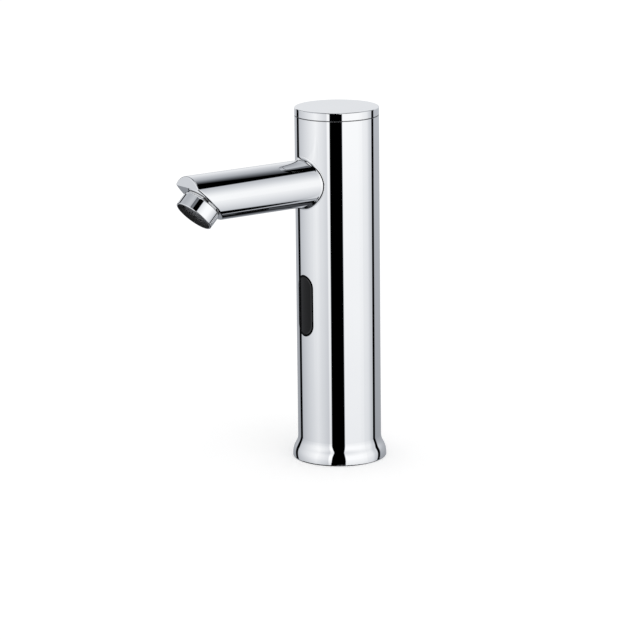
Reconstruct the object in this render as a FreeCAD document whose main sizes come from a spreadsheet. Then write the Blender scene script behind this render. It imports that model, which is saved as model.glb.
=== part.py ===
import FreeCAD, Part
import math
import os
import Sketcher

# Touch-free basin tap: a chrome column with a flared foot, a level spout cut back at 45 degrees
# over a screw-in aerator, a dark sensor window and a screw-off cap over the battery.
# Millimetres, +Z up. The origin is on the column's axis where the foot meets the deck.
# The spout points along -Y, and the tap is symmetric about X = 0 apart from its two leads.

Vector = FreeCAD.Vector
doc = FreeCAD.newDocument("sensor_tap")


# --- sizes that are numbers and formulas at once -------------------------------------------------

class Size:
    """A length, angle or ratio that holds its number and the formula that objects are bound to."""

    def __init__(self, number, formula):
        self.number = number
        self.formula = formula

    def __add__(self, other):
        return Size(self.number + number(other), f"({self.formula} + {formula(other)})")

    def __radd__(self, other):
        return Size(number(other) + self.number, f"({formula(other)} + {self.formula})")

    def __sub__(self, other):
        return Size(self.number - number(other), f"({self.formula} - {formula(other)})")

    def __rsub__(self, other):
        return Size(number(other) - self.number, f"({formula(other)} - {self.formula})")

    def __mul__(self, other):
        return Size(self.number * number(other), f"({self.formula} * {formula(other)})")

    def __rmul__(self, other):
        return Size(number(other) * self.number, f"({formula(other)} * {self.formula})")

    def __truediv__(self, other):
        return Size(self.number / number(other), f"({self.formula} / {formula(other)})")

    def __neg__(self):
        return Size(-self.number, f"(-{self.formula})")


def number(size):
    return size.number if isinstance(size, Size) else float(size)


def formula(size):
    return size.formula if isinstance(size, Size) else repr(size)


def sine(angle):
    return Size(math.sin(math.radians(angle.number)), f"sin({angle.formula} * 1deg)")


def cosine(angle):
    return Size(math.cos(math.radians(angle.number)), f"cos({angle.formula} * 1deg)")


# Driving dimensions: name, value, what it measures.
DRIVING = [
    ("column_radius", 25.0, "outer radius of the column"),
    ("column_wall", 3.5, "wall of the column casting"),
    ("column_height", 207.7, "top edge of the column above the deck"),
    ("foot_flare", 3.1, "flared foot beyond the column, at its widest"),
    ("foot_widest", 1.8, "height of the widest radius"),
    ("foot_height", 13.0, "height where the flare runs out into the column"),
    ("foot_cove", 10.0, "radius of the hollow curve above the flare"),
    ("foot_rounding", 0.8, "rounding of the foot's lower edge"),
    ("edge_break", 0.25, "small chamfer on exposed edges"),
    ("cap_thickness", 4.7, "visible height of the cap"),
    ("cap_seam", 0.4, "shadow gap between column and cap"),
    ("seam_break", 0.1, "small chamfer on the edges of the shadow gap"),
    ("cap_seam_depth", 0.7, "how far the shadow gap runs in"),
    ("cap_rounding", 0.6, "rounding of the cap's top edge"),
    ("cap_roof", 3.2, "thickness of metal over the cap's hollow"),
    ("cap_spigot_length", 8.0, "threaded spigot below the column's top edge"),
    ("cap_spigot_wall", 2.8, "wall of the cap's spigot"),
    ("screw_play", 0.08, "radial play of a screwed or sliding round fit"),
    ("seat_play", 0.05, "play between pieces that seat on each other"),
    ("ring_wire", 1.3, "section of the small sealing rings"),
    ("ring_squeeze", 0.15, "clearance kept round a sealing ring"),
    ("groove_land", 1.5, "metal beside the ring grooves of cap and spout"),
    ("pocket_play", 0.3, "air round pieces that drop into a pocket"),
    ("tapping_depth", 7.5, "tappings for the small screws"),
    ("tapping_relief", 1.0, "spout tappings beyond their screws"),
    ("screw_bite", 5.5, "small screws in their tappings"),
    ("seal_width", 2.8, "radial width of the deck seal, in the middle of the foot's rim"),
    ("seal_depth", 2.0, "thickness of the deck seal"),
    ("block_thickness", 13.0, "mounting block in the foot"),
    ("neck_radius", 11.5, "neck of the mounting block"),
    ("neck_land", 4.0, "neck's end above the foot of its ring groove"),
    ("inlet_radius", 4.5, "tapped inlet, M10 x 1"),
    ("inlet_depth", 10.0, "depth of the tapped inlet"),
    ("stud_radius", 2.5, "tapped stud hole, M6"),
    ("stud_spacing", 25.0, "between the two stud holes"),
    ("stud_depth", 10.0, "depth of the stud holes"),
    ("cartridge_radius", 8.0, "chamber for strainer and check valve"),
    ("strainer_height", 5.0, "inlet strainer"),
    ("strainer_rim", 1.2, "rim of the inlet strainer"),
    ("strainer_radius", 5.6, "cup of the inlet strainer"),
    ("mesh_wall", 0.6, "thickness of strainer and screen"),
    ("check_height", 10.5, "check valve cartridge"),
    ("check_seat_radius", 3.2, "hole in the check valve's seat"),
    ("check_bore_radius", 5.6, "bore above the check valve's seat"),
    ("check_lift", 2.5, "travel of the check valve's poppet"),
    ("check_stem_radius", 1.2, "stem of the poppet"),
    ("poppet_overlap", 1.0, "head of the poppet beyond its seat"),
    ("stem_recess", 0.6, "poppet's stem below the sleeve's top"),
    ("valve_gap", 1.0, "valve body to the column's bore"),
    ("valve_height", 22.0, "solenoid valve body"),
    ("valve_socket", 9.0, "socket of the valve body over the neck"),
    ("valve_socket_room", 2.0, "water space above the neck"),
    ("valve_forward", 3.0, "solenoid axis in front of the column's axis"),
    ("nozzle_radius", 3.5, "main valve nozzle and outlet way"),
    ("nozzle_wall", 2.5, "wall of the main nozzle"),
    ("annulus_depth", 3.0, "depth of the inlet ring"),
    ("annulus_floor", 2.0, "metal between the inlet ring and the outlet way"),
    ("outlet_way_radius", 3.0, "way from the nozzle back to the riser"),
    ("nozzle_drop", 0.5, "nozzle lip below the valve body's top"),
    ("piston_height", 3.0, "main valve piston"),
    ("piston_lift", 1.5, "travel of the main valve piston"),
    ("piston_seal_radius", 5.4, "rubber seat disc of the piston"),
    ("bonnet_height", 8.5, "bonnet over the main valve"),
    ("bonnet_roof", 1.6, "bonnet above the piston chamber"),
    ("bonnet_flange", 3.9, "rim of the bonnet that takes its screws"),
    ("pilot_radius", 0.6, "pilot hole in the bonnet"),
    ("m3_radius", 1.25, "shank of the small screws"),
    ("m3_head_radius", 2.2, "head of the small screws"),
    ("m3_head", 1.6, "head height of the small screws"),
    ("slim_head_radius", 1.6, "head of the screws in the frame's feet"),
    ("guide_radius", 4.6, "outer radius of the plunger tube"),
    ("guide_wall", 0.5, "wall of the plunger tube"),
    ("guide_height", 15.5, "plunger tube above the bonnet"),
    ("guide_flange_width", 2.0, "flange and retaining ring beyond the plunger tube"),
    ("plunger_length", 8.4, "solenoid plunger"),
    ("plunger_tip", 0.6, "rubber tip of the plunger"),
    ("plunger_lift", 1.5, "travel of the solenoid plunger"),
    ("coil_radius", 10.0, "outer radius of the coil"),
    ("yoke_plate", 1.4, "plate of the solenoid frame"),
    ("yoke_width", 23.0, "solenoid frame across the plates"),
    ("yoke_depth", 11.4, "depth of the solenoid frame"),
    ("yoke_height", 12.4, "height of the solenoid frame"),
    ("clip_height", 1.2, "retaining ring over the coil"),
    ("riser_radius", 3.2, "copper riser tube, outer radius"),
    ("riser_wall", 0.6, "wall of the riser tube"),
    ("riser_inset", 6.5, "riser's middle inside the column's bore, at the back"),
    ("riser_bend", 12.0, "bend radius of the riser, on its centre line"),
    ("riser_insert", 6.0, "length of the riser's ends in their sockets"),
    ("riser_clearance", 5.0, "riser starts to cross this far above the cross bar"),
    ("spout_drop", 38.1, "axis of the spout below the column's top edge"),
    ("spout_radius", 14.0, "radius of the spout"),
    ("spout_reach", 107.1, "spout's end face from the column's axis"),
    ("ridge_rise", 7.4, "ridge between end face and slanted cut, above the axis"),
    ("cut_angle", 45.0, "slant of the outlet face"),
    ("spout_foot", 2.2, "fillet that widens the spout's root"),
    ("spout_rounding", 0.8, "rounding of the spout's end edges"),
    ("waterway_radius", 6.0, "waterway through the spout"),
    ("pad_depth", 2.0, "seat for the connector, inside the bore"),
    ("connector_width", 25.8, "spout connector across the column"),
    ("connector_height", 16.6, "height of the spout connector"),
    ("connector_gap", 0.5, "spout connector in front of the battery holder"),
    ("spigot_length", 11.5, "connector spigot through the wall"),
    ("spigot_way", 3.5, "waterway in the spigot"),
    ("spout_screw_offset", 9.8, "spout screws beside the axis"),
    ("spout_screw_radius", 1.95, "spout screws, M4"),
    ("spout_screw_length", 20.5, "under the head's face"),
    ("spout_screw_head", 3.0, "head radius of the spout screws"),
    ("aerator_radius", 12.0, "aerator housing"),
    ("aerator_length", 8.6, "aerator housing below the outlet face"),
    ("aerator_seam", 0.8, "gap under the outlet face"),
    ("aerator_rounding", 0.45, "rounding of the aerator's edges"),
    ("aerator_shoulder", 1.0, "housing beyond its threaded neck, M22 x 1"),
    ("aerator_neck_length", 7.0, "threaded neck"),
    ("aerator_neck_wall", 1.0, "wall of the threaded neck round the insert"),
    ("aerator_lip", 0.6, "width of the lip that holds the screen"),
    ("aerator_mouth_wall", 0.9, "wall round the mouth"),
    ("aerator_recess", 1.2, "screen lip below the mouth"),
    ("lip_thickness", 0.9, "thickness of the screen lip"),
    ("washer_thickness", 1.2, "aerator washer"),
    ("washer_width", 2.6, "radial width of the aerator washer"),
    ("regulator_height", 3.2, "flow regulator disc"),
    ("screen_pitch", 1.5, "pitch of the screen's gaps"),
    ("screen_bar", 0.4, "bars of the screen"),
    ("jet_radius", 0.8, "jets of the flow regulator"),
    ("jet_circle", 6.0, "circle of the jets"),
    ("cell_pitch", 3.0, "pitch of the straightener's cells"),
    ("cell_radius", 1.2, "cells of the straightener"),
    ("window_centre", 95.6, "middle of the sensor window above the deck"),
    ("window_width", 14.8, "opening for the window"),
    ("window_height", 37.4, "opening for the window, end to end"),
    ("window_gap", 0.2, "gap round the window"),
    ("window_inset", 0.15, "window face below the column's surface"),
    ("window_flange", 1.8, "flange that overlaps the wall inside"),
    ("flange_thickness", 1.2, "thickness of the window's flange"),
    ("gasket_thickness", 0.6, "window gasket"),
    ("housing_rim", 0.5, "sensor housing beyond the window's flange"),
    ("solenoid_gap", 0.6, "plunger tube below the sensor housing"),
    ("housing_back", 6.6, "back of the sensor housing from the column's axis"),
    ("housing_wall", 1.2, "wall of the sensor housing"),
    ("board_thickness", 1.6, "sensor circuit board"),
    ("board_stand", 2.4, "board in front of the housing's back wall"),
    ("diode_radius", 2.5, "infrared emitter and receiver"),
    ("diode_offset", 9.5, "emitter and receiver above and below the middle"),
    ("diode_length", 5.0, "emitter and receiver"),
    ("lamp_radius", 1.5, "status light"),
    ("rail_inset", 2.9, "middle of the frame's rails inside the column's bore"),
    ("rail_thickness", 1.6, "rails and shelves of the inner frame"),
    ("rail_width", 10.0, "depth of the rails"),
    ("lid_gap", 2.2, "air between the battery lid and the cap's spigot"),
    ("bar_gap", 0.8, "cross bar above the sensor housing"),
    ("tab_height", 15.0, "tabs for the sensor screws"),
    ("tab_screw_inset", 4.0, "sensor screws inside the rails"),
    ("frame_foot_reach", 5.0, "frame feet on the valve body"),
    ("frame_foot_gap", 0.2, "air between the frame's feet and the bonnet, and over its screws"),
    ("battery_width", 34.8, "6 V lithium battery pack"),
    ("battery_depth", 19.5, "battery pack"),
    ("battery_height", 35.8, "battery pack"),
    ("battery_corner", 8.0, "corner rounding of the battery pack"),
    ("battery_play", 0.2, "battery pack in its holder"),
    ("battery_back", 1.35, "battery's middle behind the column's axis"),
    ("holder_gap", 0.4, "battery holder to the column's bore"),
    ("holder_floor", 1.6, "floor of the battery holder"),
    ("holder_wall", 1.2, "wall in front of the battery"),
    ("contact_thickness", 0.4, "battery contacts"),
    ("contact_width", 5.0, "battery contacts"),
    ("contact_offset", 8.7, "contacts beside the axis"),
    ("lid_thickness", 1.5, "battery lid"),
    ("lead_radius", 1.0, "two-core leads"),
    ("lead_offset", 6.0, "leads beside the mirror plane"),
    ("lead_bow", 1.5, "battery lead behind the inner frame"),
    ("coil_lead_bow", 6.0, "coil lead behind the coil"),
    ("lead_inset", 10.0, "leads enter the sensor housing this far from its ends"),
]

sheet = doc.addObject("Spreadsheet::Sheet", "sizes")
SIZES = {}
for row, (alias, value, meaning) in enumerate(DRIVING, 1):
    sheet.set(f"A{row}", meaning)
    sheet.set(f"B{row}", str(value))
    sheet.setAlias(f"B{row}", alias)
    SIZES[alias] = Size(value, f"sizes.{alias}")
doc.recompute()


class Named:
    """Gives each driving dimension as an attribute: size.column_radius."""

    def __init__(self, table):
        self.__dict__.update(table)


size = Named(SIZES)
places = doc.addObject("Spreadsheet::Sheet", "places")
PLACES = []


def place(alias, value):
    """Names a length worked out from the driving dimensions, as a cell of the places sheet."""
    row = len(PLACES) + 1
    places.set(f"A{row}", "=" + value.formula.replace("places.", ""))
    places.setAlias(f"A{row}", alias)
    PLACES.append(alias)
    return Size(value.number, f"places.{alias}")


# --- places worked out from the sizes, from the deck up ------------------------------------------

bore = place("bore_radius", size.column_radius - size.column_wall)
foot_radius = place("foot_radius", size.column_radius + size.foot_flare)
check_base = place("check_base", size.inlet_depth + size.strainer_height + size.mesh_wall)
check_top = place("check_top", check_base + size.check_height)
housing_height = place("housing_height", size.window_height + 2 * (size.window_flange + size.housing_rim))
housing_width = place("housing_width", size.window_width + 2 * (size.window_flange + size.housing_rim))
housing_base = place("housing_base", size.window_centre - housing_height / 2)
housing_top = place("housing_top", housing_base + housing_height)
bar_top = place("bar_top", housing_top + size.bar_gap + size.rail_thickness)
guide_top = place("guide_top", housing_base - size.solenoid_gap)
bonnet_top = place("bonnet_top", guide_top - size.guide_height)
valve_top = place("valve_top", bonnet_top - size.bonnet_height)
valve_base = place("valve_base", valve_top - size.valve_height)
valve_top_room = place("valve_socket_top", valve_base + size.valve_socket)
neck_top = place("neck_top", valve_top_room - size.valve_socket_room)
valve_radius = place("valve_radius", bore - size.valve_gap)
rail_offset = place("rail_offset", bore - size.rail_inset)
bonnet_radius = place("bonnet_radius", rail_offset - size.frame_foot_reach - size.frame_foot_gap)
nozzle_outer = place("nozzle_outer", size.nozzle_radius + size.nozzle_wall)
annulus_outer = place("annulus_outer", bonnet_radius - size.bonnet_flange)
nozzle_lip = place("nozzle_lip", valve_top - size.nozzle_drop)
outlet_level = place("outlet_level", valve_top - size.annulus_depth - size.annulus_floor
                     - size.outlet_way_radius)
chamber_roof = place("chamber_roof", bonnet_top - size.bonnet_roof)
yoke_base = place("yoke_base", bonnet_top + size.m3_head + size.frame_foot_gap)
yoke_top = place("yoke_top", yoke_base + size.yoke_height)
spout_height = place("spout_height", size.column_height - size.spout_drop)
pad_face = place("pad_face", bore - size.pad_depth)
holder_front = place("holder_front", size.battery_depth / 2 + size.battery_play - size.battery_back
                     + size.holder_wall)
connector_back = place("connector_back", holder_front + size.connector_gap)
riser_back = place("riser_back", bore - size.riser_inset)
riser_front = place("riser_front", (pad_face + connector_back) / 2)
connector_base = place("connector_base", spout_height - size.connector_height / 2)
lid_base = place("lid_base", size.column_height - size.cap_spigot_length - size.lid_gap - size.lid_thickness)
battery_base = place("battery_base", lid_base - size.battery_play - size.battery_height)
holder_floor = place("holder_floor_top", battery_base - size.contact_thickness)
shelf_top = place("shelf_top", holder_floor - size.holder_floor)
window_radius = place("window_radius", size.column_radius - size.window_inset)
flange_outer = place("flange_outer", bore - size.gasket_thickness - 2 * size.seat_play)
flange_inner = place("flange_inner", flange_outer - size.flange_thickness)
outlet_y = place("outlet_y", (size.ridge_rise + size.spout_radius) * cosine(size.cut_angle)
                 / sine(size.cut_angle) / 2 - size.spout_reach)
outlet_z = place("outlet_z", spout_height + (size.ridge_rise - size.spout_radius) / 2)
neck_thread_radius = place("neck_thread_radius", size.aerator_radius - size.aerator_shoulder)
insert_bore_radius = place("insert_bore_radius", neck_thread_radius - size.aerator_neck_wall)
insert_end = place("insert_end", size.aerator_seam + size.aerator_length - size.aerator_recess
                   - size.lip_thickness - size.mesh_wall)
doc.recompute()


# --- building blocks -----------------------------------------------------------------------------

SIDES = (("left", -1), ("right", 1))
UPRIGHT = FreeCAD.Rotation()
FORWARD = FreeCAD.Rotation(Vector(1, 0, 0), 90)


def put(item, x=0, y=0, z=0, turn=UPRIGHT):
    """Turns an object and ties its position to the sizes."""
    item.Placement = FreeCAD.Placement(Vector(), turn)
    for axis, value in zip("xyz", (x, y, z)):
        if value != 0:
            item.setExpression(f"Placement.Base.{axis}", formula(value))
    return item


def at_outlet(item):
    """Stands an object on the slanted outlet face, its own +Z pointing out of the spout."""
    put(item, y=outlet_y, z=outlet_z, turn=FreeCAD.Rotation(Vector(1, 0, 0), 90 + size.cut_angle.number))
    item.setExpression("Placement.Rotation.Angle", f"180 - {size.cut_angle.formula}")
    return item


def cylinder(name, radius, height, x=0, y=0, z=0, turn=UPRIGHT):
    item = doc.addObject("Part::Cylinder", name)
    item.setExpression("Radius", formula(radius))
    item.setExpression("Height", formula(height))
    return put(item, x, y, z, turn)


def box(name, low, high):
    """A box between two corners."""
    item = doc.addObject("Part::Box", name)
    for side, start, end in zip(("Length", "Width", "Height"), low, high):
        item.setExpression(side, formula(end - start))
    return put(item, *low)


def fuse(name, *items):
    item = doc.addObject("Part::MultiFuse", name)
    item.Shapes = list(items)
    return item


def cut(name, base, *tools):
    item = doc.addObject("Part::Cut", name)
    item.Base = base
    item.Tool = tools[0] if len(tools) == 1 else fuse(name + "_tools", *tools)
    return item


def common(name, first, second):
    item = doc.addObject("Part::Common", name)
    item.Base = first
    item.Tool = second
    return item


def mirrored_pair(name, build):
    """Two copies of a piece, left and right of X = 0, as one node of separate solids."""
    item = doc.addObject("Part::Compound", name)
    item.Links = [build(f"{name}_{label}", side) for label, side in SIDES]
    return item


def ring(name, inner, outer, height, z=0):
    return cut(name, cylinder(name + "_outer", outer, height, z=z),
               cylinder(name + "_bore", inner, height, z=z))


def torus(name, middle, section, x=0, y=0, z=0, turn=UPRIGHT):
    item = doc.addObject("Part::Torus", name)
    item.setExpression("Radius1", formula(middle))
    item.setExpression("Radius2", formula(section))
    return put(item, x, y, z, turn)


def stadium(name, width, height, y, z, depth):
    """An upright slot shape, extruded forwards from y."""
    radius = width / 2
    half = height / 2 - radius
    middle = box(name + "_middle", (-radius, y - depth, z - half), (radius, y, z + half))
    ends = [cylinder(name + part, radius, depth, y=y, z=z + offset, turn=FORWARD)
            for part, offset in (("_lower", -half), ("_upper", half))]
    return fuse(name, middle, *ends)


def rounded_block(name, width, depth, height, corner, y, z):
    """An upright block with rounded corners."""
    block = box(name + "_block", (-width / 2, y - depth / 2, z), (width / 2, y + depth / 2, z + height))
    rounded = doc.addObject("Part::Fillet", name)
    rounded.Base = block
    doc.recompute()
    upright = [index for index, edge in enumerate(block.Shape.Edges, 1)
               if abs(edge.tangentAt(edge.FirstParameter).z) > 0.99]
    rounded.Edges = [(index, number(corner), number(corner)) for index in upright]
    return rounded


def arc_to(r, z, radius, centre_left):
    """A profile point that an arc leads to, with its centre left or right of the way there."""
    return (r, z, radius, centre_left)


def draw_edge(sketch, start, end):
    """Adds the line or arc between two profile points and returns which end of it is the start."""
    first = Vector(number(start[0]), number(start[1]), 0)
    last = Vector(number(end[0]), number(end[1]), 0)
    if len(end) == 2:
        sketch.addGeometry(Part.LineSegment(first, last), False)
        return 1
    radius = number(end[2])
    chord = last - first
    left = Vector(-chord.y, chord.x, 0).normalize()
    rise = math.sqrt(radius ** 2 - (chord.Length / 2) ** 2)
    centre = (first + last) * 0.5 + left * (rise if end[3] else -rise)
    angles = [math.atan2(point.y - centre.y, point.x - centre.x) for point in (first, last)]
    circle = Part.Circle(centre, Vector(0, 0, 1), radius)
    if end[3]:
        sketch.addGeometry(Part.ArcOfCircle(circle, angles[0], angles[1]), False)
        return 1
    sketch.addGeometry(Part.ArcOfCircle(circle, angles[1], angles[0]), False)
    return 2


def tie(sketch, kind, arguments, value):
    """Adds a dimension to a sketch and binds it to its formula."""
    index = sketch.addConstraint(Sketcher.Constraint(kind, *arguments, number(value)))
    if isinstance(value, Size):
        sketch.setExpression(f"Constraints[{index}]", value.formula)


def profile(body, name, points):
    """A closed, fully dimensioned outline on the body's own XZ plane."""
    sketch = body.newObject("Sketcher::SketchObject", name)
    plane = next(item for item in body.Origin.OriginFeatures if item.Role == "XZ_Plane")
    sketch.AttachmentSupport = [(plane, "")]
    sketch.MapMode = "FlatFace"
    count = len(points)
    starts = [draw_edge(sketch, points[i], points[(i + 1) % count]) for i in range(count)]
    for i, start in enumerate(starts):
        following = (i + 1) % count
        sketch.addConstraint(Sketcher.Constraint("Coincident", i, 3 - start, following, starts[following]))
    for i, start in enumerate(starts):
        for kind, axis, value in (("DistanceX", -2, points[i][0]), ("DistanceY", -1, points[i][1])):
            if not isinstance(value, Size) and value == 0:
                sketch.addConstraint(Sketcher.Constraint("PointOnObject", i, start, axis))
            else:
                tie(sketch, kind, (-1, 1, i, start), value)
        target = points[(i + 1) % count]
        if len(target) > 2:
            tie(sketch, "Radius", (i,), target[2])
    return sketch


def turned(name, points, x=0, y=0, z=0):
    """A turned piece: its outline of (radius, height) points revolved about its own Z axis."""
    body = doc.addObject("PartDesign::Body", name)
    sketch = profile(body, name + "_outline", points)
    revolution = body.newObject("PartDesign::Revolution", name + "_turned")
    revolution.Profile = sketch
    revolution.ReferenceAxis = (sketch, ["V_Axis"])
    revolution.Angle = 360
    return put(body, x, y, z)


def stepped(name, steps, x=0, y=0, z=0, turn=UPRIGHT):
    """A solid turned piece from (radius, length) steps, one after the other along its axis."""
    points = [(0, 0)]
    level = 0
    for radius, length in steps:
        points += [(radius, level), (radius, level + length)]
        level = level + length
    points.append((0, level))
    body = turned(name, points)
    return put(body, x, y, z, turn)


def spring(name, wire, radius, length, turns, y, z):
    """A coil spring with open ends, its wire inside the given length."""
    rise = number(length) - 2 * wire
    helix = Part.makeHelix(rise / turns, rise, radius)
    start = helix.Edges[0]
    section = Part.Circle(start.valueAt(start.FirstParameter), start.tangentAt(start.FirstParameter), wire)
    tube = Part.Wire(helix.Edges).makePipeShell([Part.Wire([section.toShape()])], True, True)
    item = doc.addObject("Part::Feature", name)
    item.Shape = tube
    item.Placement.Base = Vector(0, number(y), number(z) + wire)
    return item


def bent_path(points, bend=None):
    """Straight runs joined by tangent arcs, as wide as the shorter run beside each point allows."""
    edges = []
    start = points[0]
    for before, corner, after in zip(points, points[1:], points[2:]):
        arriving = (corner - before).normalize()
        leaving = (after - corner).normalize()
        half_turn = arriving.getAngle(leaving) / 2
        shorter = min((corner - before).Length, (after - corner).Length)
        radius = bend or 0.45 * shorter / math.tan(half_turn)
        print("bend radius", round(radius, 1))
        reach = radius * math.tan(half_turn)
        inward = (leaving - arriving).normalize()
        middle = corner + inward * (radius / math.cos(half_turn) - radius)
        edges.append(Part.LineSegment(start, corner - arriving * reach).toShape())
        edges.append(Part.Arc(corner - arriving * reach, middle, corner + leaving * reach).toShape())
        start = corner + leaving * reach
    edges.append(Part.LineSegment(start, points[-1]).toShape())
    return Part.Wire(edges)


def tube(path, radius):
    start = path.OrderedEdges[0]
    direction = start.tangentAt(start.FirstParameter)
    section = Part.Circle(path.OrderedVertexes[0].Point, direction, radius)
    return path.makePipeShell([Part.Wire([section.toShape()])], True, False)


def shaped(name, shape):
    item = doc.addObject("Part::Feature", name)
    item.Shape = shape
    return item


def holed_disc(name, radius, thickness, holes):
    """A flat disc with one closed wire per hole, on its own Z = 0."""
    rim = Part.Wire([Part.Circle(Vector(), Vector(0, 0, 1), radius).toShape()])
    face = Part.makeFace([rim] + holes, "Part::FaceMakerBullseye")
    return shaped(name, face.extrude(Vector(0, 0, thickness)))


NODES = []


def node(item):
    """Marks an object as a piece of the tap: its label names its file."""
    NODES.append(item)
    return item


# --- column and deck seal ------------------------------------------------------------------------

slope = (foot_radius - size.column_radius) / (size.foot_height - size.foot_widest)
turn_sine = 2 * slope / (1 + slope * slope)
turn_cosine = (1 - slope * slope) / (1 + slope * slope)
flare_radius = (size.foot_height - size.foot_widest) / turn_sine - size.foot_cove
inflection_r = size.column_radius + size.foot_cove * (1 - turn_cosine)
inflection_z = size.foot_height - size.foot_cove * turn_sine
seal_middle_radius = (bore + foot_radius - size.foot_rounding) / 2
seal_inner_radius = seal_middle_radius - size.seal_width / 2
seal_outer_radius = seal_middle_radius + size.seal_width / 2

column_shell = turned("column_shell", [
    (bore, 0),
    (seal_inner_radius, 0),
    (seal_inner_radius, size.seal_depth),
    (seal_outer_radius, size.seal_depth),
    (seal_outer_radius, 0),
    (foot_radius - size.foot_rounding, 0),
    arc_to(foot_radius, size.foot_rounding, size.foot_rounding, True),
    (foot_radius, size.foot_widest),
    arc_to(inflection_r, inflection_z, flare_radius, True),
    arc_to(size.column_radius, size.foot_height, size.foot_cove, False),
    (size.column_radius, size.column_height - size.seam_break),
    (size.column_radius - size.seam_break, size.column_height),
    (bore, size.column_height),
])

# The flat seat for the spout connector: metal is added at the middle and milled off at the sides.
pad_half_width = size.connector_width / 2 + size.pocket_play
pad_half_height = size.connector_height / 2 + size.pocket_play
pad_low = spout_height - pad_half_height
pad_high = spout_height + pad_half_height
spout_pad = common(
    "spout_pad",
    box("pad_block", (-pad_half_width, -size.column_radius, pad_low), (pad_half_width, -pad_face, pad_high)),
    cylinder("pad_limit", bore + size.column_wall / 2, size.column_height))
pad_pocket = box("pad_pocket", (-pad_half_width, -pad_face, pad_low),
                 (pad_half_width, -connector_back, pad_high))
spigot_hole = cylinder("spigot_hole", size.waterway_radius, size.column_radius, z=spout_height,
                       turn=FORWARD)
screw_holes = [
    cylinder(f"wall_screw_hole_{label}", size.spout_screw_radius + 2 * size.seat_play, size.column_radius,
             x=side * size.spout_screw_offset, z=spout_height, turn=FORWARD)
    for label, side in SIDES]
window_opening = stadium("window_opening", size.window_width, size.window_height, -bore / 2,
                         size.window_centre, size.column_radius)
node(cut("column", fuse("column_body", column_shell, spout_pad),
         pad_pocket, spigot_hole, window_opening, *screw_holes))

node(ring("base_seal", seal_inner_radius + size.seat_play, seal_outer_radius - size.seat_play,
          size.seal_depth))

# --- mounting block, strainer and check valve ----------------------------------------------------

block = turned("block_blank", [
    (0, 0),
    (bore - size.seat_play, 0),
    (bore - size.seat_play, size.block_thickness),
    (size.neck_radius, size.block_thickness),
    (size.neck_radius, neck_top),
    (size.cartridge_radius, neck_top),
    (size.cartridge_radius, size.inlet_depth),
    (0, size.inlet_depth),
])
inlet_hole = cylinder("inlet_hole", size.inlet_radius, size.inlet_depth)
stud_holes = [cylinder(f"stud_hole_{label}", size.stud_radius, size.stud_depth,
                       x=side * size.stud_spacing / 2)
              for label, side in SIDES]
neck_groove_z = neck_top - size.neck_land
neck_groove = ring("neck_groove", size.neck_radius - size.ring_wire + size.ring_squeeze,
                   size.neck_radius + size.ring_wire, size.ring_wire + 2 * size.ring_squeeze,
                   z=neck_groove_z)
node(cut("mounting_block", block, inlet_hole, neck_groove, *stud_holes))

socket_radius = size.neck_radius + size.screw_play
half_wire = (size.ring_wire - size.ring_squeeze) / 2
node(torus("neck_seal", socket_radius - size.ring_wire / 2, half_wire,
           z=neck_groove_z + size.ring_wire / 2 + size.ring_squeeze))

cartridge = size.cartridge_radius - size.screw_play
node(turned("inlet_strainer", [
    (size.strainer_radius - size.mesh_wall, 0),
    (cartridge, 0),
    (cartridge, size.strainer_rim),
    (size.strainer_radius, size.strainer_rim),
    (size.strainer_radius, size.strainer_height),
    (0, size.strainer_height),
    (0, size.strainer_height - size.mesh_wall),
    (size.strainer_radius - size.mesh_wall, size.strainer_height - size.mesh_wall),
], z=size.inlet_depth))

# The check valve: a sleeve with a seat below and a spider above that guides the poppet's stem.
seat_thickness = size.strainer_rim
spider_thickness = size.strainer_rim
poppet_head = size.strainer_rim
check_sleeve = turned("check_sleeve", [
    (size.check_seat_radius, 0),
    (cartridge, 0),
    (cartridge, size.check_height),
    (size.check_stem_radius + size.screw_play, size.check_height),
    (size.check_stem_radius + size.screw_play, size.check_height - spider_thickness),
    (size.check_bore_radius, size.check_height - spider_thickness),
    (size.check_bore_radius, seat_thickness),
    (size.check_seat_radius, seat_thickness),
], z=check_base)
SPIDER_PORTS = 4
port_circle = (size.check_bore_radius + size.check_stem_radius) / 2
port_radius = (size.check_bore_radius - size.check_stem_radius) / 4
spider_ports = [
    cylinder(f"spider_port_{index}", port_radius, spider_thickness * 2,
             x=port_circle * math.cos(math.tau * index / SPIDER_PORTS),
             y=port_circle * math.sin(math.tau * index / SPIDER_PORTS),
             z=check_top - spider_thickness * 1.5)
    for index in range(SPIDER_PORTS)]
node(cut("check_valve_body", check_sleeve, *spider_ports))

poppet_base = place("poppet_base", check_base + seat_thickness)
stem_length = size.check_height - seat_thickness - poppet_head - size.stem_recess
node(stepped("check_poppet", [
    (size.check_seat_radius + size.poppet_overlap, poppet_head),
    (size.check_stem_radius, stem_length),
], z=poppet_base))
CHECK_WIRE = 0.25
CHECK_TURNS = 6
node(spring("check_spring", CHECK_WIRE, number(size.check_stem_radius) + 3 * CHECK_WIRE,
            size.check_height - seat_thickness - poppet_head - spider_thickness, CHECK_TURNS,
            0, poppet_base + poppet_head))

# --- solenoid valve ------------------------------------------------------------------------------

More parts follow.
